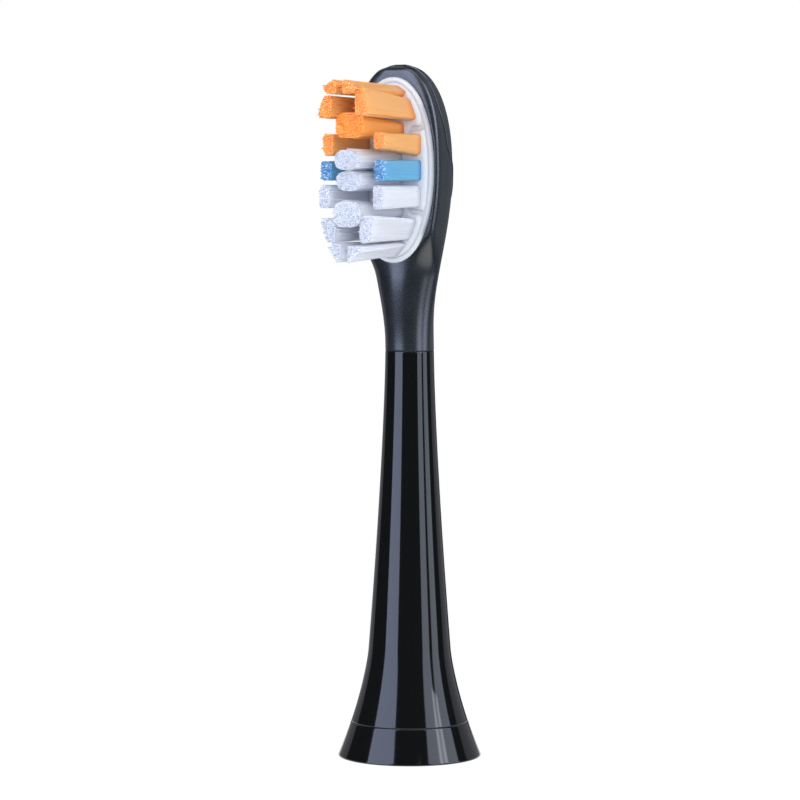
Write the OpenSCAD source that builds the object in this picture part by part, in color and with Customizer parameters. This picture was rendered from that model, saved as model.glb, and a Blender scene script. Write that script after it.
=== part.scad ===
// Click-on toothbrush head: a gloss neck on a separate base ring, a coupling for the
// handle's shaft, a soft overmoulded head and three bristle carriers set in a soft membrane.
// Millimetres. The origin is the centre of the base rim, +Z runs up the neck and the
// bristles point along -Y. "Left" is the -X side and "right" is the +X side.

/* [Neck] */
// Radius of the base rim
base_r = 8.05; // [7.4:0.05:9]
// Height of the base ring
ring_h = 3.9; // [3:0.1:4.6]
// Wall of the base ring at the rim
ring_wall = 1.3; // [0.9:0.1:1.7]
// Height of the ring's spigot inside the neck
spigot_h = 1.4; // [1:0.1:2]
// Wall of the ring's spigot
spigot_wall = 0.7; // [0.5:0.05:0.8]
// Radius that the neck's taper would reach at the rim, without the flare
taper_r = 5.6; // [5.4:0.05:6]
// Radius of the neck at the seam with the soft sleeve
neck_r = 2.7; // [2.6:0.05:3]
// Height of that seam
seam_z = 45.3; // [42:0.1:47]
// Height over which the base flares out
flare_h = 12; // [10:0.5:15]
// Wall of the neck tube
neck_wall = 1.1; // [0.9:0.05:1.2]

/* [Coupling] */
// Radius of the handle's drive shaft
shaft_r = 2; // [1.8:0.05:2.1]
// Radial clearance round the shaft
shaft_gap = 0.05; // [0.03:0.01:0.1]
// Height of the hub's lower face above the rim
hub_z = 8; // [7:0.1:9]
// Length of the round guide bore
guide_len = 10; // [8:0.5:11]
// Radius of the keyed stretch above the guide bore
key_r = 1.7; // [1.5:0.05:1.75]
// Length of the keyed stretch
key_len = 6.5; // [6:0.1:7]
// Distance of the key's flat from the axis
key_flat = 1.3; // [1.2:0.05:1.35]
// Thickness of the hub above the keyed stretch
hub_cap = 2.5; // [1.5:0.1:3]
// Thickness of the spring leaf
leaf_t = 0.22; // [0.18:0.01:0.25]
// Width of the spring leaf
leaf_w = 1.8; // [1.4:0.1:1.9]

/* [Head] */
// Height of the centre of the bristle face
face_z = 65.3; // [63:0.1:68]
// Height from the face's centre to the tip
tip_h = 11.5; // [11.3:0.1:12.5]
// Half of the head's greatest width
head_half_w = 5.75; // [5.7:0.05:6.4]
// How far the rim face stands in front of the axis
rim_y = 3.3; // [3.2:0.05:3.6]
// How far the head's back stands behind the axis
back_y = 2; // [1.6:0.05:2.6]
// How far the back stands behind the axis in the hollow below the head
dip_y = 1.35; // [1.2:0.05:1.6]
// Height of that hollow
dip_z = 53; // [51:0.5:55]
// How far the tip stands in front of the axis
tip_y = 1.3; // [1:0.1:1.6]
// Thickness of the rigid paddle inside the head
paddle_t = 1.9; // [1.6:0.1:2.1]
// Width of the rigid stem between the neck and the paddle
stem_w = 3.4; // [2.6:0.1:3.6]

/* [Membrane] */
// Half width of the white face at its lip
face_half_w = 5.32; // [5.1:0.01:5.35]
// Half height of the white face at its lip
face_half_h = 10.2; // [9.9:0.05:10.5]
// How far the lip laps over the head's rim
lip_lap = 0.22; // [0.18:0.01:0.3]
// Height of the rolled lip above the rim face
lip_h = 0.35; // [0.25:0.01:0.45]
// Thickness of the membrane's floor
floor_t = 0.6; // [0.4:0.05:0.7]

/* [Carriers] */
// Width of the white lip beside the carriers
lip_side = 0.64; // [0.57:0.01:0.72]
// Height of the white lip above and below the carriers
lip_end = 0.55; // [0.45:0.01:0.65]
// How far the carriers stand in front of the rim face
carrier_proud = 0.6; // [0.5:0.05:0.8]
// Thickness of a carrier
carrier_t = 1.8; // [1.5:0.05:1.9]
// Width of the groove between two carriers
groove_w = 0.42; // [0.36:0.01:0.46]
// Clearance between a carrier and its pocket
pocket_gap = 0.08; // [0.05:0.01:0.1]

/* [Bristles] */
// Free length of the toe tufts
toe_len = 10.2; // [8:0.1:11]
// Free length of the upper shoulder tufts
shoulder_len = 9.5; // [8:0.1:11]
// Free length of the upper waist tuft
waist_len = 8.2; // [7:0.1:10]
// Free length of the lower waist tuft
low_waist_len = 8.7; // [7:0.1:10]
// Free length of the side tufts
side_len = 7.4; // [6:0.1:9]
// Free length of the centre tufts
centre_len = 8.6; // [7:0.1:10]
// Free length of the lower shoulder tufts
hip_len = 8.5; // [7:0.1:10]
// Free length of the heel tufts
heel_len = 9.2; // [7:0.1:10.5]
// Distance from the carriers' edge to the outermost strands
tuft_margin = 0.56; // [0.52:0.01:0.62]
// Depth to which a tuft's backing is let into its carrier
backing_t = 0.6; // [0.4:0.05:0.8]
// Clearance round a tuft's backing
backing_gap = 0.03; // [0.02:0.01:0.04]
// Share of its cell that a strand fills at its foot
strand_fill = 0.74; // [0.6:0.01:0.8]

/* [Hidden] */

fit_gap = 0.03;
mould_gap = 0.02;
seam_bevel = 0.12;
rim_bevel = 0.25;
taper_power = 1.4;
flare_power = 1.6;
spigot_cover = 0.85;
mouth_bevel = 0.4;
profile_steps = 30;
stem_step = 0.15;
stem_lap = 2;
stem_root = 1;
$fn = 64;

orange = [0.94, 0.66, 0.35];
deep_orange = [0.95, 0.60, 0.22];
blue = [0.42, 0.68, 0.87];
bristle_white = [0.86, 0.88, 0.94];
gloss_black = [0.07, 0.07, 0.08];
soft_grey = [0.27, 0.30, 0.35];
soft_white = [0.93, 0.94, 0.97];
steel = [0.7, 0.72, 0.75];

// Coupling heights
guide_top = hub_z + guide_len;
key_top = guide_top + key_len;
hub_top = key_top + hub_cap;
bore_r = shaft_r + shaft_gap;
slot_gap = 0.1;
slot_depth = 2.12;
slot_rise = 0.5;

// Depths of the head's layers, as distances in front of the axis
carrier_front = rim_y + carrier_proud;
carrier_back = carrier_front - carrier_t;
press_gap = 0.5;
floor_y = carrier_back - press_gap;
paddle_y = floor_y - floor_t;
lip_y = rim_y + lip_h;
backing_y = carrier_front - backing_t;

// Outlines of the face
face_power = 2.1;
tip_power = 2.4;
body_half_w = face_half_w - lip_lap;
body_half_h = face_half_h - lip_lap;
paddle_side = 0.7;
paddle_end = 0.8;
paddle_half_w = body_half_w - paddle_side;
paddle_half_h = body_half_h - paddle_end;
crease_side = 0.12;
crease_end = 0.85;
crease_half_w = face_half_w + crease_side;
crease_half_h = face_half_h + crease_end;
carrier_half_w = face_half_w - lip_side;
carrier_half_h = face_half_h - lip_end;

// ---- Curves ----

// Outer radius of the neck and base at a height
function flare(z) = z < flare_h ? (base_r - taper_r) * pow(1 - z / flare_h, flare_power) : 0;
function neck_outer(z) = neck_r + (taper_r - neck_r) * pow(1 - z / seam_z, taper_power) + flare(z);
function neck_inner(z) = neck_outer(z) - neck_wall;
function spigot_r() = neck_outer(ring_h + spigot_h) - spigot_cover;

// Heights spread evenly from one level to another, both included
function levels(low, high, steps) = [for (i = [0:steps]) low + (high - low) * i / steps];

// Smooth step from 0 to 1
function ease(t) = 0.5 - 0.5 * cos(180 * min(max(t, 0), 1));

// Half width of a superellipse at a height from its centre
function oval_x(z, half_w, half_h, power) =
    half_w * pow(max(1 - pow(abs(z) / half_h, power), 0), 1 / power);

// Points round a superellipse, counted from +X towards +Z
function oval(half_w, half_h, power, count) = [for (i = [0:count - 1])
    let (a = 360 * (i + 0.5) / count)
    [half_w * sign(cos(a)) * pow(abs(cos(a)), 2 / power),
     half_h * sign(sin(a)) * pow(abs(sin(a)), 2 / power)]];

// A closed outline with its corners eased, and one moved inwards by a distance
function eased(p) = let (n = len(p))
    [for (i = [0:n - 1]) (p[(i + n - 1) % n] + 2 * p[i] + p[(i + 1) % n]) / 4];
function inset(p, d) = let (n = len(p))
    [for (i = [0:n - 1])
        let (t = p[(i + 1) % n] - p[(i + n - 1) % n])
        p[i] - d * [t[1], -t[0]] / norm(t)];

// An outline in the face's plane, lifted to a ring at a distance in front of the axis
function ring_at(p, y) = [for (q = p) [q[0], -y, face_z + q[1]]];

// ---- Building blocks ----

// A closed skin over rings that have the same number of points each
module loft(rings) {
    n = len(rings[0]);
    last = (len(rings) - 1) * n;
    sides = [for (k = [0:len(rings) - 2], i = [0:n - 1])
        let (a = k * n + i, b = k * n + (i + 1) % n)
        each [[a, b, b + n], [a, b + n, a + n]]];
    first_cap = [for (i = [n - 1:-1:0]) i];
    last_cap = [for (i = [0:n - 1]) last + i];
    polyhedron([for (r = rings) each r], concat([first_cap], sides, [last_cap]), convexity = 8);
}

// A straight prism on an outline in the face's plane, between two distances from the axis
module face_prism(outline, near, far) {
    translate([0, -near, face_z])
        rotate([90, 0, 0])
            linear_extrude(height = far - near)
                polygon(outline);
}

// ---- Base ring ----

// The ring's throat: a funnel up from the rim, then a straight stretch below the spigot
funnel_in = 0.55;
funnel_h = 1.4;
throat_drop = 0.9;

module base_ring() {
    inner_r = base_r - ring_wall;
    spigot_in = spigot_r() - spigot_wall;
    outer = [for (z = levels(rim_bevel, ring_h - seam_bevel, 10)) [neck_outer(z), z]];
    color(gloss_black)
        rotate_extrude()
            polygon(concat(
                [[inner_r, 0], [base_r - rim_bevel, 0]],
                outer,
                [[neck_outer(ring_h) - seam_bevel, ring_h],
                 [spigot_r(), ring_h],
                 [spigot_r(), ring_h + spigot_h],
                 [spigot_in, ring_h + spigot_h],
                 [spigot_in, ring_h - throat_drop],
                 [inner_r - funnel_in, funnel_h]]));
}

// ---- Neck, with its stem and paddle ----

module neck_profile() {
    step_z = ring_h + spigot_h;
    cavity = [for (z = levels(hub_top, step_z, profile_steps)) [neck_inner(z), z]];
    outer = [for (z = levels(ring_h + seam_bevel, seam_z - seam_bevel, profile_steps))
        [neck_outer(z), z]];
    polygon(concat(
        [[0, hub_top]],
        cavity,
        [[spigot_r() + fit_gap, step_z],
         [spigot_r() + fit_gap, ring_h],
         [neck_outer(ring_h) - seam_bevel, ring_h]],
        outer,
        [[neck_r - seam_bevel, seam_z], [0, seam_z]]));
}

module stem(grow) {
    low = -paddle_y + stem_step - grow;
    high = -paddle_y + paddle_t - stem_step + grow;
    top = face_z - paddle_half_h + stem_lap;
    translate([-stem_w / 2 - grow, low, seam_z - stem_root])
        cube([stem_w + 2 * grow, high - low, top - seam_z + stem_root]);
}

module neck() {
    color(gloss_black)
        union() {
            rotate_extrude()
                neck_profile();
            stem(0);
            face_prism(oval(paddle_half_w, paddle_half_h, face_power, 48),
                paddle_y - paddle_t, paddle_y);
        }
}

// ---- Coupling hub and spring leaf ----

module hub_profile() {
    side = [for (z = levels(hub_z, hub_top, 20)) [neck_inner(z) - fit_gap, z]];
    polygon(concat(
        [[0, hub_z]],
        side,
        [[0, hub_top]]));
}

module coupling_hub() {
    slot_w = leaf_w + 2 * slot_gap;
    color(soft_white)
        difference() {
            rotate_extrude()
                hub_profile();
            translate([0, 0, hub_z - 1])
                cylinder(h = guide_len + 1, r = bore_r);
            translate([0, 0, hub_z - 1])
                cylinder(h = 1 + mouth_bevel, r1 = bore_r + 1 + mouth_bevel, r2 = bore_r);
            intersection() {
                translate([0, 0, guide_top - 1])
                    cylinder(h = key_len + 1, r = key_r);
                translate([-key_r, -key_r, guide_top - 1])
                    cube([2 * key_r, key_r + key_flat, key_len + 1]);
            }
            translate([-slot_w / 2, 0, guide_top + slot_rise])
                cube([slot_w, slot_depth, key_len - slot_rise]);
        }
}

// Middle line of the leaf, as distance behind the axis and height, from its root downwards:
// it bows in past the key's flat and comes part of the way back
leaf_seat = 0.04;
leaf_bite = 0.08;
leaf_turn = 140;
leaf_power = 1.35;
leaf_top_gap = 0.1;
leaf_end_gap = 0.7;
leaf_root_y = slot_depth - leaf_t / 2 - leaf_seat;
leaf_bow_y = key_flat - leaf_bite + leaf_t / 2;
function leaf_line(t) = [
    leaf_root_y - (leaf_root_y - leaf_bow_y) * sin(leaf_turn * pow(t, leaf_power)),
    key_top - leaf_top_gap - (key_len - leaf_top_gap - leaf_end_gap) * t];

module shaft_clip() {
    steps = 14;
    line = [for (i = [0:steps]) leaf_line(i / steps)];
    front = [for (i = [0:steps])
        let (t = line[min(i + 1, steps)] - line[max(i - 1, 0)])
        line[i] + leaf_t / 2 * [t[1], -t[0]] / norm(t)];
    back = [for (i = [steps:-1:0])
        let (t = line[min(i + 1, steps)] - line[max(i - 1, 0)])
        line[i] - leaf_t / 2 * [t[1], -t[0]] / norm(t)];
    color(steel)
        translate([-leaf_w / 2, 0, 0])
            rotate([90, 0, 90])
                linear_extrude(height = leaf_w)
                    polygon(concat(front, back));
}

// ---- Head overmould ----

// How far up from the seam the sleeve stays as wide as the neck, stays round, reaches its
// full depth in front and turns into the flat-faced head, as shares of the way to the face
stretch = face_z - seam_z;
wide_start = seam_z + 0.035 * stretch;
sleeve_end = seam_z + 0.235 * stretch;
rim_start = seam_z + 0.435 * stretch;
oval_start = seam_z + 0.585 * stretch;
widen_power = 0.88;
mid_y = 0.6;
crease_in = 0.3;

function head_x(z) = z < face_z
    ? neck_r + (head_half_w - neck_r) * ease(pow(max(z - wide_start, 0) / (face_z - wide_start), widen_power))
    : oval_x(z - face_z, head_half_w, tip_h, tip_power);
function head_back(z) =
    z < dip_z ? neck_r + (dip_y - neck_r) * ease((z - seam_z) / (dip_z - seam_z)) :
    z < face_z ? dip_y + (back_y - dip_y) * ease((z - dip_z) / (face_z - dip_z)) :
    -tip_y + (back_y + tip_y) * pow(max(1 - pow((z - face_z) / tip_h, 2), 0), 0.5);
function head_front(z) =
    z < oval_start ? -neck_r - (rim_y - neck_r) * ease((z - seam_z) / (rim_start - seam_z)) :
    z < face_z + face_half_h ? -rim_y :
    -tip_y - (rim_y - tip_y) * sqrt(max(1 - pow((z - face_z - face_half_h) / (tip_h - face_half_h), 2), 0));
function head_mid(z) =
    z < face_z ? -mid_y * ease((z - seam_z) / stretch) :
    -mid_y - (tip_y - mid_y) * pow((z - face_z) / tip_h, 2);
function crease_x(z) = min(head_x(z),
    z < face_z ? head_x(z) - crease_in : oval_x(z - face_z, crease_half_w, crease_half_h, face_power));

// Half a section as angles from the front middle to the back middle. A round section and
// one with a flat front and a crease are mixed by how far up the head it is.
function section_half(z) = let (
    mix = ease((z - sleeve_end) / (oval_start - sleeve_end)),
    a = head_x(z), yf = head_front(z), yb = head_back(z), ym = head_mid(z), cx = crease_x(z))
    concat(
        [for (i = [0:3]) let (t = 15 + 15 * i)
            (1 - mix) * [a * sin(t), ym + (yf - ym) * cos(t)]
            + mix * [cx * (i + 1) / 4, yf]],
        [for (i = [1:3]) let (t = 60 + 10 * i, s = i / 3)
            (1 - mix) * [a * sin(t), ym + (yf - ym) * cos(t)]
            + mix * [cx + (a - cx) * sin(90 * s), yf + (ym - yf) * s]],
        [for (i = [1:5]) let (t = 15 * i)
            [a * cos(t), ym + (yb - ym) * sin(t)]]);
function section(z) = let (half = section_half(z), n = len(half))
    concat(
        [[0, head_front(z)]],
        half,
        [[0, head_back(z)]],
        [for (i = [n - 1:-1:0]) [-half[i][0], half[i][1]]]);

head_levels = concat(
    levels(seam_z, face_z, 18),
    [for (a = [6:6:84]) face_z + tip_h * sin(a)],
    [face_z + tip_h * sin(87)]);

module head_overmould() {
    color(soft_grey)
        difference() {
            loft([for (z = head_levels) [for (q = section(z)) [q[0], q[1], z]]]);
            face_prism(oval(body_half_w + fit_gap, body_half_h + fit_gap, face_power, 48),
                paddle_y, rim_y + 1);
            face_prism(oval(paddle_half_w + mould_gap, paddle_half_h + mould_gap, face_power, 48),
                paddle_y - paddle_t - mould_gap, paddle_y + 0.1);
            stem(mould_gap);
        }
}

// ---- Carrier outlines ----

// Middle of the groove above the middle carrier, as a height from the face's centre. It runs
// low past the waist tuft, climbs between that tuft and the side tuft, and rises to the edge.
waist_half_w = 0.363 * carrier_half_w;
side_in = 0.585 * carrier_half_w;
groove_low = 0.3025 * carrier_half_h;
groove_high = 0.467 * carrier_half_h;
groove_rise = 0.0406 * carrier_half_h;
climb_from = 0.15;
climb_to = 0.18;
function groove_z(x) = let (from = waist_half_w + climb_from, to = side_in - climb_to)
    groove_low + (groove_high - groove_low) * ease((abs(x) - from) / (to - from))
    + groove_rise * pow(max(abs(x) - to, 0) / (carrier_half_w - to), 2);

// Points along a groove's edge, from one side to the other, moved off its middle
function groove_edge(reach, side, steps) = [for (i = [0:steps])
    let (x = reach * (1 - 2 * i / steps), e = 0.02,
         t = [2 * e, groove_z(x + e) - groove_z(x - e)])
    [x, groove_z(x)] + side * groove_w / 2 * [-t[1], t[0]] / norm(t)];

carrier_reach = oval_x(groove_high + groove_rise, carrier_half_w, carrier_half_h, face_power);
upper_cut = 0.3;
upper_lift = 0.45;
middle_cut = 0.1;
middle_drop = 0.05;
function rim_point(z) = [oval_x(z, carrier_half_w, carrier_half_h, face_power), z];

// Upper carrier: the groove's upper edge from right to left, then the oval back over the top
function upper_outline() = let (
    edge = groove_edge(carrier_reach - upper_cut, 1, 30),
    start = asin(pow((groove_high + groove_rise + upper_lift) / carrier_half_h, face_power / 2)),
    arc = [for (i = [0:22]) let (a = start + (180 - 2 * start) * i / 22)
        [carrier_half_w * sign(cos(a)) * pow(abs(cos(a)), 2 / face_power),
         carrier_half_h * pow(sin(a), 2 / face_power)]])
    eased(eased(concat([for (i = [30:-1:0]) edge[i]], arc)));
function middle_outline() = let (
    top = groove_edge(carrier_reach - middle_cut, -1, 32),
    side = [for (z = levels(-groove_high - middle_drop, groove_high + middle_drop, 16)) rim_point(z)])
    eased(eased(concat(side, top,
        [for (i = [16:-1:0]) [-side[i][0], side[i][1]]],
        [for (i = [32:-1:0]) [top[i][0], -top[i][1]]])));
function flipped(p) = [for (i = [len(p) - 1:-1:0]) [p[i][0], -p[i][1]]];

// ---- Membrane ----

module membrane() {
    body = oval(body_half_w, body_half_h, face_power, 48);
    lip = [for (a = [0:30:90]) ring_at(
        oval(face_half_w - lip_h * (1 - cos(a)), face_half_h - lip_h * (1 - cos(a)), face_power, 48),
        rim_y + lip_h * sin(a))];
    color(soft_white)
        difference() {
            loft(concat([ring_at(body, paddle_y), ring_at(body, rim_y)], lip));
            face_prism(inset(upper_outline(), -pocket_gap), floor_y, lip_y + 1);
            face_prism(inset(middle_outline(), -pocket_gap), floor_y, lip_y + 1);
            face_prism(inset(flipped(upper_outline()), -pocket_gap), floor_y, lip_y + 1);
        }
}

// ---- Tufts ----

// Each row's lower and upper edge, as shares of the carriers' half height from the centre
toe_row = [0.81, 0.96];
shoulder_row = [0.562, 0.788];
waist_row = [0.373, 0.546];
side_row = [0.171, 0.392];
indicator_row = [-0.106, 0.106];
centre_row = [0.0152, 0.2284];
function below(row) = [-row[1], -row[0]];

// Each tuft's inner edge, as a distance from the middle plane
toe_in = 0.0855 * carrier_half_w;
shoulder_in = 0.3205 * carrier_half_w;
indicator_in = 0.607 * carrier_half_w;
centre_half_w = 0.3419 * carrier_half_w;

// A tuft's foot as four corners: inner low, outer low, outer high, inner high
function outer_x(z) = oval_x(z, carrier_half_w, carrier_half_h, face_power) - tuft_margin;
function side_foot(x_in, row) = let (low = row[0] * carrier_half_h, high = row[1] * carrier_half_h)
    [[x_in, low], [outer_x(low), low], [outer_x(high), high], [x_in, high]];
function middle_foot(half_w, row) = let (low = row[0] * carrier_half_h, high = row[1] * carrier_half_h)
    [[-half_w, low], [half_w, low], [half_w, high], [-half_w, high]];
function mirrored(f) = [[-f[1][0], f[1][1]], [-f[0][0], f[0][1]],
    [-f[3][0], f[3][1]], [-f[2][0], f[2][1]]];

toe_foot = side_foot(toe_in, toe_row);
shoulder_foot = side_foot(shoulder_in, shoulder_row);
upper_side_foot = side_foot(side_in, side_row);
indicator_foot = side_foot(indicator_in, indicator_row);
lower_side_foot = side_foot(side_in, below(side_row));
hip_foot = side_foot(shoulder_in, below(shoulder_row));
heel_foot = side_foot(toe_in, below(toe_row));
waist_foot = middle_foot(waist_half_w, waist_row);
low_waist_foot = middle_foot(waist_half_w, below(waist_row));
upper_centre_foot = middle_foot(centre_half_w, centre_row);
lower_centre_foot = middle_foot(centre_half_w, below(centre_row));

// Strands across and up each tuft
toe_cells = [4, 4];
shoulder_cells = [4, 6];
waist_cells = [8, 4];
side_cells = [3, 6];
indicator_cells = [4, 6];
centre_cells = [8, 4];
tip_fill = 0.8;
ragged = 0.12;

// How a tuft's ends stand to its foot: spread across and up, and how far they rise
toe_fan = [1.03, 1.03, 0.25];
shoulder_fan = [1.03, 1.05, 0.25];
waist_fan = [1.03, 1.1, 0.05];
side_fan = [1.03, 1.03, 0.2];
plain_fan = [1.03, 1.03, 0];
heel_fan = [1.03, 1.03, 0.4];
function falling(fan) = [fan[0], fan[1], -fan[2]];

// A foot grown on every side
function grown(f, d) = [f[0] + [-d, -d], f[1] + [d, -d], f[2] + [d, d], f[3] + [-d, d]];
// A point of a foot at shares u across and v up
function in_foot(f, u, v) = (1 - v) * ((1 - u) * f[0] + u * f[1]) + v * ((1 - u) * f[3] + u * f[2]);

// A block of square strands on one backing, as a single closed skin: the backing's top is a
// grid of cells, and each cell is pinched in to one strand's foot
module tuft(foot, length, strands, fan) {
    across = strands[0];
    up = strands[1];
    middle = in_foot(foot, 0.5, 0.5);
    cols = across + 1;
    rows = up + 1;
    rim = concat(
        [for (i = [0:across - 1]) [i, 0]],
        [for (j = [0:up - 1]) [across, j]],
        [for (i = [across:-1:1]) [i, up]],
        [for (j = [up:-1:1]) [0, j]]);
    n_rim = len(rim);
    cells = [for (j = [0:up - 1], i = [0:across - 1]) [i, j]];
    corner = [[-1, -1], [1, -1], [1, 1], [-1, 1]];
    top_points = [for (j = [0:up], i = [0:across])
        let (q = in_foot(foot, i / across, j / up)) [q[0], -carrier_front, face_z + q[1]]];
    low_points = [for (r = rim)
        let (q = in_foot(foot, r[0] / across, r[1] / up)) [q[0], -backing_y, face_z + q[1]]];
    strand_points = [for (c = cells, tip = [0, 1], k = [0:3])
        let (fill = strand_fill / 2 * (tip == 1 ? tip_fill : 1),
             q = in_foot(foot, (c[0] + 0.5 + fill * corner[k][0]) / across,
                 (c[1] + 0.5 + fill * corner[k][1]) / up),
             p = tip == 1 ? [middle[0] + fan[0] * (q[0] - middle[0]),
                 middle[1] + fan[1] * (q[1] - middle[1]) + fan[2]] : q,
             uneven = ragged * sin(137 * c[0] + 71 * c[1]),
             reach = carrier_front + (tip == 1 ? length + uneven : 0))
        [p[0], -reach, face_z + p[1]]];
    low_at = cols * rows;
    strand_at = low_at + n_rim + 1;
    top_rim = [for (r = rim) r[1] * cols + r[0]];
    wall_faces = [for (i = [0:n_rim - 1])
        let (j = (i + 1) % n_rim)
        each [[low_at + i, low_at + j, top_rim[j]],
              [low_at + i, top_rim[j], top_rim[i]],
              [low_at + j, low_at + i, low_at + n_rim]]];
    cell_faces = [for (m = [0:len(cells) - 1], k = [0:3])
        let (c = cells[m],
             g = [c[1] * cols + c[0], c[1] * cols + c[0] + 1,
                  (c[1] + 1) * cols + c[0] + 1, (c[1] + 1) * cols + c[0]],
             s = strand_at + 8 * m, l = (k + 1) % 4)
        each [[g[k], g[l], s + l], [g[k], s + l, s + k],
              [s + k, s + l, s + 4 + l], [s + k, s + 4 + l, s + 4 + k]]];
    tip_faces = [for (m = [0:len(cells) - 1])
        let (s = strand_at + 8 * m + 4)
        each [[s, s + 1, s + 2], [s, s + 2, s + 3]]];
    polyhedron(
        concat(top_points, low_points, [[middle[0], -backing_y, face_z + middle[1]]], strand_points),
        concat(wall_faces, cell_faces, tip_faces), convexity = 12);
}

// ---- Carriers ----

// A plate with a recess for each tuft's backing
module carrier(outline, feet) {
    color(soft_white)
        difference() {
            face_prism(outline, carrier_back, carrier_front);
            for (f = feet)
                face_prism(grown(f, backing_gap), backing_y, carrier_front + 1);
        }
}

module upper_carrier() {
    carrier(upper_outline(), [toe_foot, mirrored(toe_foot), shoulder_foot,
        mirrored(shoulder_foot), waist_foot]);
}

module middle_carrier() {
    carrier(middle_outline(), [upper_side_foot, mirrored(upper_side_foot), indicator_foot,
        mirrored(indicator_foot), lower_side_foot, mirrored(lower_side_foot),
        upper_centre_foot, lower_centre_foot]);
}

module lower_carrier() {
    carrier(flipped(upper_outline()), [hip_foot, mirrored(hip_foot), heel_foot,
        mirrored(heel_foot), low_waist_foot]);
}

module toe_tuft_left() { color(orange) tuft(mirrored(toe_foot), toe_len, toe_cells, toe_fan); }
module toe_tuft_right() { color(orange) tuft(toe_foot, toe_len, toe_cells, toe_fan); }
module shoulder_tuft_left() { color(orange) tuft(mirrored(shoulder_foot), shoulder_len, shoulder_cells, shoulder_fan); }
module shoulder_tuft_right() { color(orange) tuft(shoulder_foot, shoulder_len, shoulder_cells, shoulder_fan); }
module upper_waist_tuft() { color(deep_orange) tuft(waist_foot, waist_len, waist_cells, waist_fan); }
module upper_side_tuft_left() { color(orange) tuft(mirrored(upper_side_foot), side_len, side_cells, side_fan); }
module upper_side_tuft_right() { color(orange) tuft(upper_side_foot, side_len, side_cells, side_fan); }
module indicator_tuft_left() { color(blue) tuft(mirrored(indicator_foot), side_len, indicator_cells, plain_fan); }
module indicator_tuft_right() { color(blue) tuft(indicator_foot, side_len, indicator_cells, plain_fan); }
module lower_side_tuft_left() { color(bristle_white) tuft(mirrored(lower_side_foot), side_len, side_cells, plain_fan); }
module lower_side_tuft_right() { color(bristle_white) tuft(lower_side_foot, side_len, side_cells, plain_fan); }
module upper_centre_tuft() { color(bristle_white) tuft(upper_centre_foot, centre_len, centre_cells, plain_fan); }
module lower_centre_tuft() { color(bristle_white) tuft(lower_centre_foot, centre_len, centre_cells, plain_fan); }
module lower_waist_tuft() { color(bristle_white) tuft(low_waist_foot, low_waist_len, waist_cells, falling(waist_fan)); }
module hip_tuft_left() { color(bristle_white) tuft(mirrored(hip_foot), hip_len, shoulder_cells, falling(shoulder_fan)); }
module hip_tuft_right() { color(bristle_white) tuft(hip_foot, hip_len, shoulder_cells, falling(shoulder_fan)); }
module heel_tuft_left() { color(bristle_white) tuft(mirrored(heel_foot), heel_len, toe_cells, falling(heel_fan)); }
module heel_tuft_right() { color(bristle_white) tuft(heel_foot, heel_len, toe_cells, falling(heel_fan)); }

base_ring();
neck();
coupling_hub();
shaft_clip();
head_overmould();
membrane();
upper_carrier();
middle_carrier();
lower_carrier();
toe_tuft_left();
toe_tuft_right();
shoulder_tuft_left();
shoulder_tuft_right();
upper_waist_tuft();
upper_side_tuft_left();
upper_side_tuft_right();
indicator_tuft_left();
indicator_tuft_right();
lower_side_tuft_left();
lower_side_tuft_right();
upper_centre_tuft();
lower_centre_tuft();
lower_waist_tuft();
hip_tuft_left();
hip_tuft_right();
heel_tuft_left();
heel_tuft_right();
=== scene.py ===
import itertools
import math
import random
import bmesh
import bpy
from mathutils import Matrix, Vector


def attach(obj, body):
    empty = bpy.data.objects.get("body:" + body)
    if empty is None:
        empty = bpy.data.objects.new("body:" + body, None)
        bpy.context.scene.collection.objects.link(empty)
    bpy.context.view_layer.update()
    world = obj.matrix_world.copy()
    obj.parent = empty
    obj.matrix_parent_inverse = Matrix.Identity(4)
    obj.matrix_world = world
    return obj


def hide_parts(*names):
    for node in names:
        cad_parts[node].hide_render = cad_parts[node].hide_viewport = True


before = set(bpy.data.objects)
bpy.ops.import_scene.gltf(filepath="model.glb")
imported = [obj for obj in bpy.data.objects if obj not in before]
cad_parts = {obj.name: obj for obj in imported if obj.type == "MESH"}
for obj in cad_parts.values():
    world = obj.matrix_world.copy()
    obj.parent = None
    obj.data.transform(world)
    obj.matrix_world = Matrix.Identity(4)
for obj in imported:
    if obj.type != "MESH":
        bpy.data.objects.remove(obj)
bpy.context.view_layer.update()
mm = 0.001
random.seed(7)


def toLinear(hexCode):
    # an sRGB hex colour as the linear values a shader takes
    channels = [int(hexCode[i:i + 2], 16) / 255 for i in (1, 3, 5)]
    return tuple(c / 12.92 if c <= 0.04045 else ((c + 0.055) / 1.055) ** 2.4 for c in channels) + (1.0,)


def addNode(tree, kind, settings=None, links=None):
    node = tree.nodes.new(kind)
    for key, value in (settings or {}).items():
        if isinstance(key, int) or key in node.inputs:
            node.inputs[key].default_value = value
        else:
            setattr(node, key, value)
    for key, socket in (links or {}).items():
        tree.links.new(socket, node.inputs[key])
    return node


def newMaterial(name, settings):
    material = bpy.data.materials.new(name)
    material.use_nodes = True
    tree = material.node_tree
    tree.nodes.clear()
    shader = addNode(tree, "ShaderNodeBsdfPrincipled", settings)
    addNode(tree, "ShaderNodeOutputMaterial", {}, {"Surface": shader.outputs["BSDF"]})
    return material, tree, shader


def addRamp(tree, source, stops):
    ramp = addNode(tree, "ShaderNodeValToRGB", {}, {"Fac": source})
    while len(ramp.color_ramp.elements) < len(stops):
        ramp.color_ramp.elements.new(0.5)
    for element, (place, colour) in zip(ramp.color_ramp.elements, stops):
        element.position = place
        element.color = colour
    return ramp.outputs["Color"]


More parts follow.
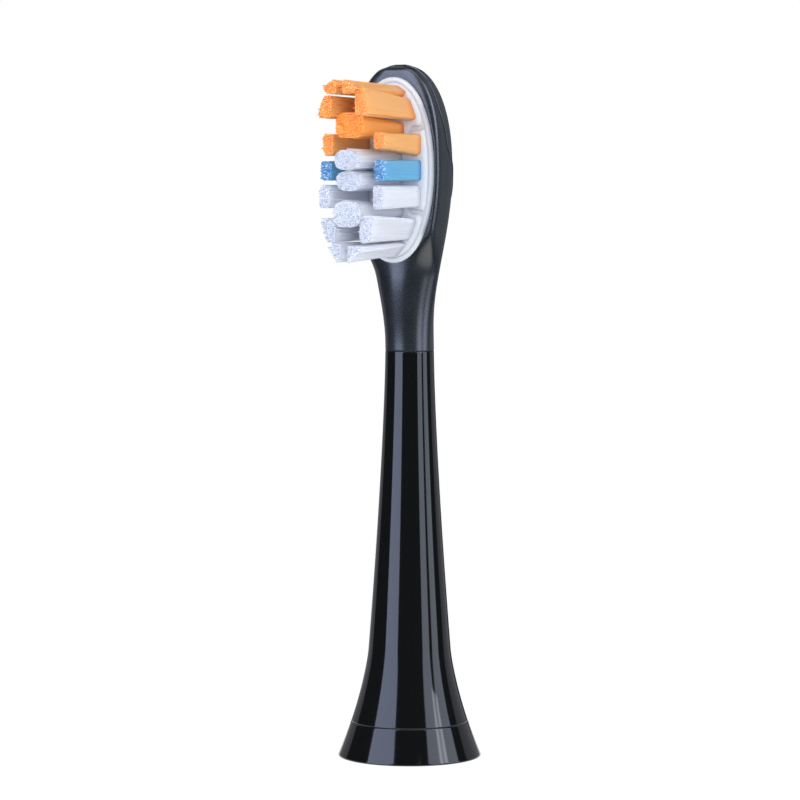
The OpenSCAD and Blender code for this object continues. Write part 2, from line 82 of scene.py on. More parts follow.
def finePattern(tree, sizeMm, detail=2.0, stretch=(1, 1, 1)):
    # noise whose lumps are about sizeMm across
    place = addNode(tree, "ShaderNodeTexCoord")
    turned = addNode(tree, "ShaderNodeMapping", {"Scale": stretch}, {"Vector": place.outputs["Object"]})
    return addNode(tree, "ShaderNodeTexNoise", {"Scale": 1 / (sizeMm * mm), "Detail": detail},
                   {"Vector": turned.outputs["Vector"]}).outputs["Fac"]


def addBump(tree, shader, height, depthMm, strength=1.0):
    bump = addNode(tree, "ShaderNodeBump", {"Strength": strength, "Distance": depthMm * mm},
                   {"Height": height})
    tree.links.new(bump.outputs["Normal"], shader.inputs["Normal"])


def spread(tree, source, low, high):
    ranged = addNode(tree, "ShaderNodeMapRange", {"To Min": low, "To Max": high}, {"Value": source})
    return ranged.outputs["Result"]


def plainRay(tree):
    # 1 for the rays that see the plain white set: camera, glossy and transmission rays
    path = addNode(tree, "ShaderNodeLightPath")
    cameraOrGloss = addNode(tree, "ShaderNodeMath", {"operation": "MAXIMUM"},
                            {0: path.outputs["Is Camera Ray"], 1: path.outputs["Is Glossy Ray"]})
    anyPlain = addNode(tree, "ShaderNodeMath", {"operation": "MAXIMUM"},
                       {0: cameraOrGloss.outputs[0], 1: path.outputs["Is Transmission Ray"]})
    return anyPlain.outputs[0]


def smoothStep(t):
    t = min(max(t, 0.0), 1.0)
    return 0.5 - 0.5 * math.cos(math.pi * t)


def ovalX(z, halfW, halfH, power):
    # half the width of a superellipse at height z
    return halfW * max(1 - (abs(z) / halfH) ** power, 0) ** (1 / power)


def ovalPoints(halfW, halfH, power, count):
    points = []
    for i in range(count):
        a = 2 * math.pi * (i + 0.5) / count
        c, s = math.cos(a), math.sin(a)
        points.append((math.copysign(abs(c) ** (2 / power), c) * halfW,
                       math.copysign(abs(s) ** (2 / power), s) * halfH))
    return points


def levels(low, high, steps):
    return [low + (high - low) * i / steps for i in range(steps + 1)]


def pick(*pieces):
    if bpy.context.object and bpy.context.object.mode != "OBJECT":
        bpy.ops.object.mode_set(mode="OBJECT")
    bpy.ops.object.select_all(action="DESELECT")
    for piece in pieces:
        piece.select_set(True)
    bpy.context.view_layer.objects.active = pieces[0]


def startPiece(name):
    piece = bpy.context.object
    piece.name = name
    piece.data.name = name
    return piece


def settle(piece):
    # the piece's place goes into its mesh
    pick(piece)
    bpy.ops.object.transform_apply(location=True, rotation=True, scale=True)


def growRings(name, rings, capStart=True):
    # a circle is placed on the first ring, then extruded to each ring after it and capped
    count = len(rings[0])
    bpy.ops.object.select_all(action="DESELECT")
    bpy.ops.mesh.primitive_circle_add(vertices=count, radius=mm)
    piece = startPiece(name)
    for vertex, point in zip(piece.data.vertices, rings[0]):
        vertex.co = Vector(point) * mm
    bpy.ops.object.mode_set(mode="EDIT")
    bpy.ops.mesh.select_mode(type="VERT")
    bpy.ops.mesh.select_all(action="SELECT")
    if capStart:
        bpy.ops.mesh.edge_face_add()
        bpy.ops.mesh.select_all(action="SELECT")
    order = {i: i for i in range(count)}
    for ring in rings[1:]:
        bpy.ops.mesh.extrude_edges_move(TRANSFORM_OT_translate={"value": (0, 0, 0)})
        shell = bmesh.from_edit_mesh(piece.data)
        shell.verts.index_update()
        fresh = {}
        for vertex in shell.verts:
            if vertex.select:
                for edge in vertex.link_edges:
                    other = edge.other_vert(vertex)
                    if other.index in order and not other.select:
                        fresh[vertex.index] = order[other.index]
                        vertex.co = Vector(ring[order[other.index]]) * mm
        order = fresh
        bmesh.update_edit_mesh(piece.data)
    bpy.ops.mesh.edge_face_add()
    bpy.ops.mesh.select_all(action="SELECT")
    bpy.ops.mesh.normals_make_consistent(inside=False)
    bpy.ops.object.mode_set(mode="OBJECT")
    return piece


def spinProfile(name, profile, steps):
    # a profile of (radius, height) points is drawn by extruding one vertex, then spun round the axis
    bpy.ops.object.select_all(action="DESELECT")
    bpy.ops.mesh.primitive_plane_add(size=mm)
    piece = startPiece(name)
    bpy.ops.object.mode_set(mode="EDIT")
    bpy.ops.mesh.select_all(action="SELECT")
    bpy.ops.mesh.merge(type="CENTER")
    last = Vector((0, 0, 0))
    for i, (radius, height) in enumerate(profile):
        target = Vector((radius, 0, height)) * mm
        if i == 0:
            bpy.ops.transform.translate(value=target)
        else:
            bpy.ops.mesh.extrude_region_move(TRANSFORM_OT_translate={"value": target - last})
        last = target
    bpy.ops.mesh.select_all(action="SELECT")
    bpy.ops.mesh.spin(steps=steps, angle=2 * math.pi, center=(0, 0, 0), axis=(0, 0, 1))
    bpy.ops.mesh.select_all(action="SELECT")
    bpy.ops.mesh.remove_doubles(threshold=0.00001)
    bpy.ops.mesh.normals_make_consistent(inside=False)
    bpy.ops.object.mode_set(mode="OBJECT")
    return piece


def applyModifier(piece, kind, **settings):
    pick(piece)
    modifier = piece.modifiers.new(kind.title(), kind)
    for key, value in settings.items():
        setattr(modifier, key, value)
    bpy.ops.object.modifier_apply(modifier=modifier.name)


def cutAway(piece, cutter):
    applyModifier(piece, "BOOLEAN", operation="DIFFERENCE", solver="EXACT", object=cutter)
    bpy.data.objects.remove(cutter)


def softenEdges(piece, widthMm, segments, degrees):
    applyModifier(piece, "BEVEL", width=widthMm * mm, segments=segments, limit_method="ANGLE",
                  angle_limit=math.radians(degrees), harden_normals=False, use_clamp_overlap=True)


def smooth(piece, degrees):
    pick(piece)
    bpy.ops.object.shade_smooth_by_angle(angle=math.radians(degrees))


def dress(piece, body, material, slot, *nodes):
    # material, body and the CAD nodes the piece stands for; the colour slot is not used
    settle(piece)
    piece.data.materials.clear()
    piece.data.materials.append(material)
    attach(piece, body)
    if nodes:
        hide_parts(*nodes)


cameraSettings = {
    "azimuth": 33.0,          # degrees to the right of the bristle face
    "elevation": 3.87,
    "distance": 0.40,
    "lens": 161.9,
    "aimHeight": 0.03978,
    "aimLeft": 0.00107,
    "sensor": 36,
    "clipStart": 0.01,
}


def placeCamera(s):
    turn = math.radians(s["azimuth"])
    tilt = math.radians(s["elevation"])
    right = Vector((math.cos(turn), math.sin(turn), 0))
    toCamera = Vector((math.sin(turn) * math.cos(tilt), -math.cos(turn) * math.cos(tilt), math.sin(tilt)))
    aim = Vector((0, 0, s["aimHeight"])) - right * s["aimLeft"]
    bpy.ops.object.camera_add(location=aim + toCamera * s["distance"])
    camera = bpy.context.object
    camera.name = "mainCamera"
    camera.rotation_euler = toCamera.to_track_quat("Z", "Y").to_euler()
    camera.data.lens = s["lens"]
    camera.data.sensor_width = s["sensor"]
    camera.data.clip_start = s["clipStart"]
    bpy.context.scene.camera = camera


placeCamera(cameraSettings)
print("camera placed")


studio = {
    "floorRadius": 0.07,
    "floorFade": (0.035, 0.065),   # metres from the middle over which the floor turns to plain white
    "floorGrey": 0.8,              # what the floor gives back to the object
    "seenGrey": 0.32,              # what the camera sees of its shade, on top of the glow
    "seenGlow": 0.80,
    "drapeRadius": 1.7,
    "drapeDrop": 2.0,
    "drapeHeight": 5.8,
    "overhead": 0.75,              # strength of the plain light on matt surfaces
}

softboxes = [
    # name, degrees to the right of the camera, width, height, height of its middle, distance,
    # lean in degrees, radiance, colour
    ("leftSoftbox", -53, 0.60, 0.94, 0.36, 0.712, 26, 3.2, "#cfdcff"),
    ("rightSoftbox", 47, 0.32, 1.25, 0.22, 0.78, 26, 2.3, "#dfeaff"),
    ("sideSoftbox", 77, 0.31, 1.25, 0.22, 0.72, 26, 2.1, "#dfeaff"),
    ("upperSoftbox", 62, 0.16, 0.36, 0.36, 0.60, 38, 3.2, "#eef1ff"),
    ("topPanel", -12, 1.0, 0.9, 0.85, 0.42, 62, 0.45, "#eef3ff"),
    ("backSoftbox", 132, 0.80, 1.25, 0.22, 0.95, 20, 0.35, "#eef3ff"),
    ("backLeftSoftbox", -150, 0.88, 1.25, 0.22, 0.95, 20, 0.3, "#f4f4ff"),
]


def buildFloor(s):
    # a small white board that takes the shadow and fades into the plain white
    bpy.ops.object.select_all(action="DESELECT")
    bpy.ops.mesh.primitive_circle_add(vertices=96, radius=s["floorRadius"], fill_type="NGON")
    floor = startPiece("studioFloor")
    settle(floor)
    material = bpy.data.materials.new("paintedBoardWhite")
    material.use_nodes = True
    tree = material.node_tree
    tree.nodes.clear()
    place = addNode(tree, "ShaderNodeTexCoord")
    reach = addNode(tree, "ShaderNodeVectorMath", {"operation": "LENGTH"}, {0: place.outputs["Object"]})
    near, far = s["floorFade"]
    fade = addNode(tree, "ShaderNodeMapRange",
                   {"From Min": near, "From Max": far, "interpolation_type": "SMOOTHSTEP"},
                   {"Value": reach.outputs["Value"]})
    board = addNode(tree, "ShaderNodeBsdfDiffuse", {"Color": (s["floorGrey"],) * 3 + (1,)})
    seenBoard = addNode(tree, "ShaderNodeBsdfDiffuse", {"Color": (s["seenGrey"],) * 3 + (1,)})
    glow = addNode(tree, "ShaderNodeEmission", {"Color": (1, 1, 1, 1), "Strength": s["seenGlow"]})
    seen = addNode(tree, "ShaderNodeAddShader", {}, {0: seenBoard.outputs[0], 1: glow.outputs[0]})
    plainWhite = addNode(tree, "ShaderNodeEmission", {"Color": (1, 1, 1, 1), "Strength": 1.0})
    faded = addNode(tree, "ShaderNodeMixShader", {},
                    {0: fade.outputs["Result"], 1: seen.outputs[0], 2: plainWhite.outputs[0]})
    mixed = addNode(tree, "ShaderNodeMixShader", {},
                    {0: plainRay(tree), 1: board.outputs[0], 2: faded.outputs[0]})
    addNode(tree, "ShaderNodeOutputMaterial", {}, {"Surface": mixed.outputs[0]})
    floor.data.materials.append(material)


def buildDrapes(s):
    # dark cloth round the set, seen only in reflections: it keeps the gloss black dark
    bpy.ops.object.select_all(action="DESELECT")
    bpy.ops.mesh.primitive_cylinder_add(vertices=64, radius=s["drapeRadius"], depth=s["drapeHeight"],
                                        end_fill_type="NOTHING",
                                        location=(0, 0, s["drapeHeight"] / 2 - s["drapeDrop"]))
    drape = startPiece("studioDrapes")
    settle(drape)
    cloth = {"Base Color": toLinear("#2a2b2e"), "Roughness": 1.0, "Specular IOR Level": 0.0}
    drape.data.materials.append(newMaterial("wovenDrapeBlack", cloth)[0])
    drape.visible_camera = False
    drape.visible_transmission = False
    drape.visible_diffuse = False
    drape.visible_shadow = False


def placeLamps(boxes, cameraTurn):
    # the boxes whose reflections draw the bands along the gloss; they light no matt surface
    turn = math.radians(cameraTurn)
    toCamera = Vector((math.sin(turn), -math.cos(turn), 0))
    right = Vector((math.cos(turn), math.sin(turn), 0))
    for name, degrees, width, height, middle, distance, lean, radiance, colour in boxes:
        angle = math.radians(degrees)
        direction = toCamera * math.cos(angle) + right * math.sin(angle)
        place = direction * distance + Vector((0, 0, middle))
        bpy.ops.object.light_add(type="AREA", location=place)
        lamp = bpy.context.object
        lamp.name = name
        down = math.radians(lean)
        facing = direction * math.cos(down) + Vector((0, 0, math.sin(down)))
        lamp.rotation_euler = facing.to_track_quat("Z", "Y").to_euler()
        lamp.data.shape = "RECTANGLE"
        lamp.data.size = width
        lamp.data.size_y = height
        lamp.data.color = toLinear(colour)[:3]
        lamp.data.energy = radiance * math.pi * width * height
        lamp.visible_camera = False
        lamp.visible_diffuse = False


def setWorld(s):
    world = bpy.data.worlds.new("studioWorld")
    world.use_nodes = True
    tree = world.node_tree
    tree.nodes.clear()
    strength = spread(tree, plainRay(tree), s["overhead"], 1.0)
    background = addNode(tree, "ShaderNodeBackground", {"Color": (1, 1, 1, 1)}, {"Strength": strength})
    addNode(tree, "ShaderNodeOutputWorld", {}, {"Surface": background.outputs[0]})
    bpy.context.scene.world = world


fills = [
    # name, degrees to the right of the camera, degrees up, radiance
    ("frontFill", 11, 10, 3.4),
    ("leftFill", -60, 20, 1.5),
    ("rightFill", 90, 20, 1.0),
    ("backFill", 180, 25, 4.0),
]
fillPlace = {"distance": 1.3, "size": 0.8, "aimHeight": 0.05}


def placeFills(lamps, s, cameraTurn):
    # broad lights for the matt surfaces, kept out of the gloss
    for name, degrees, rise, radiance in lamps:
        turn, tilt = math.radians(cameraTurn + degrees), math.radians(rise)
        direction = Vector((math.sin(turn) * math.cos(tilt), -math.cos(turn) * math.cos(tilt), math.sin(tilt)))
        place = direction * s["distance"] + Vector((0, 0, s["aimHeight"]))
        bpy.ops.object.light_add(type="AREA", location=place)
        lamp = bpy.context.object
        lamp.name = name
        lamp.rotation_euler = direction.to_track_quat("Z", "Y").to_euler()
        lamp.data.size = s["size"]
        lamp.data.energy = radiance * math.pi * s["size"] ** 2
        lamp.visible_camera = False
        lamp.visible_glossy = False


placeFills(fills, fillPlace, cameraSettings["azimuth"])
buildFloor(studio)
buildDrapes(studio)
placeLamps(softboxes, cameraSettings["azimuth"])
setWorld(studio)
bpy.context.scene.view_settings.view_transform = "Standard"
print("studio built")


def mouldedGlossAbs():
    # ABS moulded in a polished tool: near-black, a sharp reflection with a trace of orange peel
    material, tree, shader = newMaterial("mouldedGlossAbs", {
        "Base Color": toLinear("#0e1012"), "Roughness": 0.07, "IOR": 1.6})
    addBump(tree, shader, finePattern(tree, 1.6), 0.0012, 0.5)
    tree.links.new(spread(tree, finePattern(tree, 0.7), 0.05, 0.11), shader.inputs["Roughness"])
    return material


def overmouldedTpe():
    # thermoplastic elastomer from a finely blasted tool: satin, soft wide highlights
    material, tree, shader = newMaterial("overmouldedTpe", {
        "Base Color": toLinear("#1f252d"), "Roughness": 0.27, "IOR": 1.9})
    tone = addRamp(tree, finePattern(tree, 2.5), [(0.3, toLinear("#1c2229")), (0.7, toLinear("#222932"))])
    tree.links.new(tone, shader.inputs["Base Color"])
    tree.links.new(spread(tree, finePattern(tree, 0.5), 0.24, 0.30), shader.inputs["Roughness"])
    # the blasted grain, drawn coarser than it is
    addBump(tree, shader, finePattern(tree, 0.12, 1.0), 0.0015, 0.12)
    return material


def mouldedWhiteTpe():
    # white elastomer, slightly see-through at its thin lip
    material, tree, shader = newMaterial("mouldedWhiteTpe", {
        "Base Color": toLinear("#e2e7f2"), "Roughness": 0.38, "IOR": 1.5,
        "Subsurface Weight": 0.35, "Subsurface Radius": (0.5, 0.5, 0.6), "Subsurface Scale": 0.0012})
    thin = addNode(tree, "ShaderNodeAttribute", {"attribute_name": "thin"}).outputs["Fac"]
    tone = addRamp(tree, thin, [(0.0, toLinear("#e2e7f2")), (0.5, toLinear("#d4dae6")),
                                (1.0, toLinear("#8d94a3"))])
    tree.links.new(tone, shader.inputs["Base Color"])
    tree.links.new(spread(tree, finePattern(tree, 0.4), 0.34, 0.46), shader.inputs["Roughness"])
    addBump(tree, shader, finePattern(tree, 0.2), 0.002, 0.3)
    return material


def mouldedWhitePp():
    # polypropylene of the bristle carriers: cool white with a soft shine
    material, tree, shader = newMaterial("mouldedWhitePp", {
        "Base Color": toLinear("#dfe5ef"), "Roughness": 0.25, "IOR": 1.49,
        "Subsurface Weight": 0.3, "Subsurface Radius": (0.5, 0.5, 0.6), "Subsurface Scale": 0.001})
    tree.links.new(spread(tree, finePattern(tree, 0.6), 0.20, 0.32), shader.inputs["Roughness"])
    addBump(tree, shader, finePattern(tree, 0.5), 0.002, 0.25)
    return material


def mouldedAcetal():
    # acetal of the coupling: milky white and slippery
    material, tree, shader = newMaterial("mouldedAcetal", {
        "Base Color": toLinear("#e4e4e0"), "Roughness": 0.32, "IOR": 1.48, "Subsurface Weight": 0.2,
        "Subsurface Radius": (0.5, 0.5, 0.5), "Subsurface Scale": 0.001})
    addBump(tree, shader, finePattern(tree, 0.8), 0.003, 0.3)
    return material


def rolledSpringSteel():
    # strip steel with the fine lines of rolling along its length
    material, tree, shader = newMaterial("rolledSpringSteel", {
        "Base Color": toLinear("#b9bcc0"), "Metallic": 1.0, "Roughness": 0.3})
    lines = finePattern(tree, 0.08, 2.0, (1, 1, 0.05))
    tree.links.new(spread(tree, lines, 0.22, 0.4), shader.inputs["Roughness"])
    addBump(tree, shader, lines, 0.001, 0.4)
    return material


def drawnNylon(name, root, side, tipsWithPaintedShade):
    # nylon filament: light wanders through a packed tuft; the root is darkened with painted shade, and the cut
    # ends are speckled, their darkest specks painted shade between the ends
    material, tree, shader = newMaterial(name, {
        "Roughness": 0.35, "IOR": 1.53, "subsurface_method": "BURLEY",
        "Subsurface Weight": 0.25, "Subsurface Radius": (1, 1, 1), "Subsurface Scale": 0.001})
    along = addNode(tree, "ShaderNodeAttribute", {"attribute_name": "along"}).outputs["Fac"]
    shade = addNode(tree, "ShaderNodeAttribute", {"attribute_name": "shade"}).outputs["Fac"]
    # the root's darker colour is painted shade where the tuft goes into its carrier
    length = addRamp(tree, along, [(0.06, toLinear(root)), (0.17, toLinear(side))])
    # the cut ends' speckle: its darkest colour is painted shade between the ends
    ends = addRamp(tree, shade, [(place, toLinear(tip)) for place, tip in zip((0.1, 0.5, 0.95), tipsWithPaintedShade)])
    cut = addNode(tree, "ShaderNodeMapRange", {"From Min": 0.95, "From Max": 0.99}, {"Value": along})
    level = spread(tree, shade, 0.94, 1.0)
    toned = addNode(tree, "ShaderNodeMix", {"data_type": "RGBA", "blend_type": "MULTIPLY", 0: 1.0},
                    {6: length, 7: level})
    colour = addNode(tree, "ShaderNodeMix", {"data_type": "RGBA"},
                     {0: cut.outputs["Result"], 6: toned.outputs[2], 7: ends})
    tree.links.new(colour.outputs[2], shader.inputs["Base Color"])
    return material


glossBlack = mouldedGlossAbs()
softGrey = overmouldedTpe()
softWhite = mouldedWhiteTpe()
carrierWhite = mouldedWhitePp()
milkyAcetal = mouldedAcetal()
springSteel = rolledSpringSteel()
# each filament's first colour is its root, darkened with painted shade; the first of its tip colours is
# painted shade between the cut ends
filaments = {
    "orange": drawnNylon("drawnNylonOrange", "#e88838", "#f2b26e", ("#ee944c", "#faa858", "#fec488")),
    "deepOrange": drawnNylon("drawnNylonDeepOrange", "#e06c1c", "#f8aa52",
                             ("#f09038", "#fca444", "#ffb868")),
    "blue": drawnNylon("drawnNylonBlue", "#3a82c2", "#68b0dc", ("#3c7cb8", "#60a0d4", "#d4e4f4")),
    "white": drawnNylon("drawnNylonWhite", "#c0c6d6", "#e2e7f3", ("#b2bacb", "#d0d6e4", "#dde2ee")),
}
print("materials mixed")


neckShape = {
    "baseR": 8.05, "taperR": 5.6, "neckR": 2.7, "seamZ": 45.3, "flareH": 12.0,
    "taperPower": 1.4, "flarePower": 1.6, "wall": 1.1,
    "ringH": 3.9, "ringWall": 1.3, "spigotH": 1.4, "spigotWall": 0.7, "spigotCover": 0.85,
    "spigotRoot": 0.9, "hollowIn": 0.55, "hollowH": 1.4,     # how the ring's inside leans in to its spigot
    "rimBevel": 0.25, "rimClear": 0.3, "seamBevel": 0.12, "seamClear": 0.16, "topBevel": 0.11, "topClear": 0.2,
    "nearby": 0.5, "bevelSteps": 4, "rimSteps": 5, "ringSteps": 40, "neckSteps": 120, "turns": 128,
    "fitGap": 0.03, "cavityTop": 27.0,
    "stemW": 3.4, "stemFront": -0.85, "stemBack": 0.75, "stemLap": 2.0, "stemRoot": 0.5,
    "faceZ": 65.3, "paddleHalfW": 4.4, "paddleHalfH": 9.18, "paddlePower": 2.1, "paddleSteps": 48,
    "paddleFront": -1.0, "paddleBack": 0.55,
}


def neckOuter(z, s=neckShape):
    # the outer radius at height z: a long taper with a flare added below
    flare = (s["baseR"] - s["taperR"]) * (1 - z / s["flareH"]) ** s["flarePower"] if z < s["flareH"] else 0
    return s["neckR"] + (s["taperR"] - s["neckR"]) * max(1 - z / s["seamZ"], 0) ** s["taperPower"] + flare


def roundedCorner(corner, before, after, size, steps):
    # points that round a profile's corner
    c, b, a = Vector(corner), Vector(before), Vector(after)
    start = c + (b - c).normalized() * size
    end = c + (a - c).normalized() * size
    return [tuple((1 - t) ** 2 * start + 2 * t * (1 - t) * c + t * t * end) for t in levels(0, 1, steps)]


def buildBaseRing(s):
    top, ringTop = s["ringH"] + s["spigotH"], neckOuter(s["ringH"])
    spigot = neckOuter(top) - s["spigotCover"]
    innerR = s["baseR"] - s["ringWall"]
    rim = roundedCorner((s["baseR"], 0), (s["baseR"] - 1, 0), (neckOuter(1), 1), s["rimBevel"], s["rimSteps"])
    below = s["ringH"] - s["nearby"]
    seam = roundedCorner((ringTop, s["ringH"]), (neckOuter(below), below), (ringTop - 1, s["ringH"]),
                         s["seamBevel"], s["bevelSteps"])
    heights = levels(s["rimClear"], s["ringH"] - s["seamClear"], s["ringSteps"])
    profile = [(innerR, 0)] + rim + [(neckOuter(z), z) for z in heights] + seam + [
        (spigot, s["ringH"]), (spigot, top), (spigot - s["spigotWall"], top),
        (spigot - s["spigotWall"], s["ringH"] - s["spigotRoot"]),
        (innerR - s["hollowIn"], s["hollowH"]), (innerR, 0)]
    ring = spinProfile("baseRing", profile, s["turns"])
    smooth(ring, 35)
    dress(ring, "root", glossBlack, "gloss_black", "base_ring")


def buildNeck(s):
    # the tube, with the rigid stem and paddle that stand inside the soft head
    step, ringTop = s["ringH"] + s["spigotH"], neckOuter(s["ringH"])
    spigot = neckOuter(step) - s["spigotCover"] + s["fitGap"]
    cavity = [(neckOuter(z) - s["wall"], z) for z in levels(s["cavityTop"], step, s["ringSteps"])]
    above = s["ringH"] + s["nearby"]
    low = roundedCorner((ringTop, s["ringH"]), (ringTop - 1, s["ringH"]), (neckOuter(above), above),
                        s["seamBevel"], s["bevelSteps"])
    high = roundedCorner((s["neckR"], s["seamZ"]), (s["neckR"], s["seamZ"] - 1), (s["neckR"] - 1, s["seamZ"]),
                         s["topBevel"], s["rimSteps"])
    heights = levels(s["ringH"] + s["seamClear"], s["seamZ"] - s["topClear"], s["neckSteps"])
    profile = ([(0, s["cavityTop"])] + cavity + [(spigot, step), (spigot, s["ringH"])] + low
               + [(neckOuter(z), z) for z in heights] + high + [(0, s["seamZ"])])
    neck = spinProfile("neckShell", profile, s["turns"])
    halfW, stemTop = s["stemW"] / 2, s["faceZ"] - s["paddleHalfH"] + s["stemLap"]
    stem = growRings("stem", [[(-halfW, s["stemFront"], z), (halfW, s["stemFront"], z),
                               (halfW, s["stemBack"], z), (-halfW, s["stemBack"], z)]
                              for z in (s["seamZ"] - s["stemRoot"], stemTop)])
    oval = ovalPoints(s["paddleHalfW"], s["paddleHalfH"], s["paddlePower"], s["paddleSteps"])
    paddle = growRings("paddle", [[(x, y, s["faceZ"] + z) for x, z in oval]
                                  for y in (s["paddleBack"], s["paddleFront"])])
    pick(neck, stem, paddle)
    bpy.ops.object.join()
    smooth(neck, 35)
    dress(neck, "root", glossBlack, "gloss_black", "neck")


buildBaseRing(neckShape)
buildNeck(neckShape)
print("neck and base ring built")


headShape = {
    "sleeveR": 2.7, "seamZ": 45.3, "widenZ": 46.0, "widenPower": 0.95, "rimZ": 54,
    "faceZ": 65.3, "tipH": 11.5, "halfW": 5.75, "rimY": 3.3, "backY": 2.0, "dipY": 1.35, "dipZ": 53.0,
    "midY": 0.6, "tipY": 1.3, "tipPower": 2.4, "facePower": 2.1, "sleeveEnd": 53.5, "ovalStart": 59.0,
    "faceHalfW": 5.32, "faceHalfH": 10.2, "lipLap": 0.22,
    "creaseMost": 5.42, "creaseHalfW": 5.7, "creaseHalfH": 11.22, "creasePower": 1.7, "creaseFall": 10.8,
    "filletY": 0.45, "filletShare": 0.5, "filletReach": (0.96, 0.04), "roundTip": 0.1, "roundOver": 0.65,
    "flatIn": 0.1, "flatGap": 0.05, "flatLeast": 0.4, "flatMost": 0.9,
    "frontSteps": 8, "sideSteps": 8, "backSteps": 15, "frontDegrees": 60,
    "lowestZ": 45.32, "edgeRound": 0.07, "firstZ": 45.5, "rows": 44,
    "paddleY": 1.0, "pocketGap": 0.03, "pocketPast": 1, "pocketEdge": 0.1,
}


def headX(z, s=headShape):
    if z < s["faceZ"]:
        t = max(z - s["widenZ"], 0) / (s["faceZ"] - s["widenZ"])
        return s["sleeveR"] + (s["halfW"] - s["sleeveR"]) * smoothStep(t ** s["widenPower"])
    return ovalX(z - s["faceZ"], s["halfW"], s["tipH"], s["tipPower"])


def headBack(z, s=headShape):
    if z < s["dipZ"]:
        t = (z - s["seamZ"]) / (s["dipZ"] - s["seamZ"])
        return s["sleeveR"] + (s["dipY"] - s["sleeveR"]) * smoothStep(t)
    if z < s["faceZ"]:
        return s["dipY"] + (s["backY"] - s["dipY"]) * smoothStep((z - s["dipZ"]) / (s["faceZ"] - s["dipZ"]))
    return -s["tipY"] + (s["backY"] + s["tipY"]) * math.sqrt(max(1 - ((z - s["faceZ"]) / s["tipH"]) ** 2, 0))


def headFront(z, s=headShape):
    if z < s["ovalStart"]:
        t = (z - s["seamZ"]) / (s["rimZ"] - s["seamZ"])
        return -s["sleeveR"] - (s["rimY"] - s["sleeveR"]) * smoothStep(t)
    faceTop = s["faceZ"] + s["creaseFall"]
    if z < faceTop:
        return -s["rimY"]
    t = (z - faceTop) / (s["tipH"] - s["creaseFall"])
    return -s["tipY"] - (s["rimY"] - s["tipY"]) * math.sqrt(max(1 - t * t, 0))


def headMid(z, s=headShape):
    # how far forward of the axis the section is widest
    if z < s["faceZ"]:
        return -s["midY"] * smoothStep((z - s["seamZ"]) / (s["faceZ"] - s["seamZ"]))
    return -s["midY"] - (s["tipY"] - s["midY"]) * ((z - s["faceZ"]) / s["tipH"]) ** 2


def creaseX(z, s=headShape):
    # where the flat front turns into the side
    if z < s["faceZ"]:
        return headX(z) - (s["halfW"] - s["creaseMost"])
    crease = ovalX(z - s["faceZ"], s["creaseHalfW"], s["creaseHalfH"], s["creasePower"])
    return min(0.98 * headX(z), s["creaseMost"], max(crease, 0.5 * headX(z)))


def headSide(z, share, s=headShape):
    # from the crease to the widest place: a tight fillet at the face's middle, a plain curve at the tip
    a, mid, crease, front = headX(z), headMid(z), creaseX(z), headFront(z)
    fillet = min(s["filletY"], 0.45 * (mid - front))
    turn = math.radians(90 * min(share / s["filletShare"], 1))
    rest = max(share - s["filletShare"], 0) / (1 - s["filletShare"])
    first, last = s["filletReach"]
    reach = first * math.sin(turn) + last * math.sin(math.radians(90 * rest))
    tight = Vector((crease + (a - crease) * reach,
                    front + fillet * (1 - math.cos(turn)) + (mid - front - fillet) * rest))
    plain = Vector((crease + (a - crease) * math.sin(math.radians(90 * share)), front + (mid - front) * share))
    return tight.lerp(plain, s["roundTip"] * smoothStep((z - s["faceZ"]) / s["tipH"] / s["roundOver"]))


def headSection(z, s=headShape):
    # a round sleeve below that turns into an oval with a flat front above; right half first, then mirrored
    mix = smoothStep((z - s["sleeveEnd"]) / (s["ovalStart"] - s["sleeveEnd"]))
    a, front, back, mid, crease = headX(z), headFront(z), headBack(z), headMid(z), creaseX(z)
    flat = ovalX(z - s["faceZ"], s["faceHalfW"] - s["flatIn"], s["faceHalfH"] - s["flatIn"], s["facePower"])
    flat = min(max(flat, s["flatLeast"] * crease), crease - s["flatGap"], s["flatMost"] * crease)
    if z < s["faceZ"]:
        flat = crease * s["flatMost"]

    def blended(x, y, degrees):
        t = math.radians(degrees)
        return ((1 - mix) * a * math.sin(t) + mix * x,
                (1 - mix) * (mid + (front - mid) * math.cos(t)) + mix * y)

    half, flatSteps = [], s["frontSteps"] // 2
    for i in range(1, s["frontSteps"] + 1):
        x = flat * i / flatSteps if i <= flatSteps else flat + (crease - flat) * (i - flatSteps) / flatSteps
        half.append(blended(x, front, s["frontDegrees"] * i / s["frontSteps"]))
    for i in range(1, s["sideSteps"] + 1):
        point = headSide(z, i / s["sideSteps"])
        half.append(blended(point.x, point.y,
                            s["frontDegrees"] + (90 - s["frontDegrees"]) * i / s["sideSteps"]))
    for i in range(1, s["backSteps"]):
        t = math.radians(90 * i / s["backSteps"])
        half.append((a * math.cos(t), mid + (back - mid) * math.sin(t)))
    points = [(0, front)] + half + [(0, back)] + [(-x, y) for x, y in reversed(half)]
    return [(x, y, z) for x, y in points]


def tipRows(degrees, s=headShape):
    # heights over the face's middle that close up towards the tip
    return [s["faceZ"] + s["tipH"] * math.sin(math.radians(a)) for a in degrees]


def facePrism(name, outline, near, far, s=headShape):
    # a straight prism on an outline in the face's plane
    return growRings(name, [[(x, -near, s["faceZ"] + z) for x, z in outline],
                            [(x, -far, s["faceZ"] + z) for x, z in outline]])


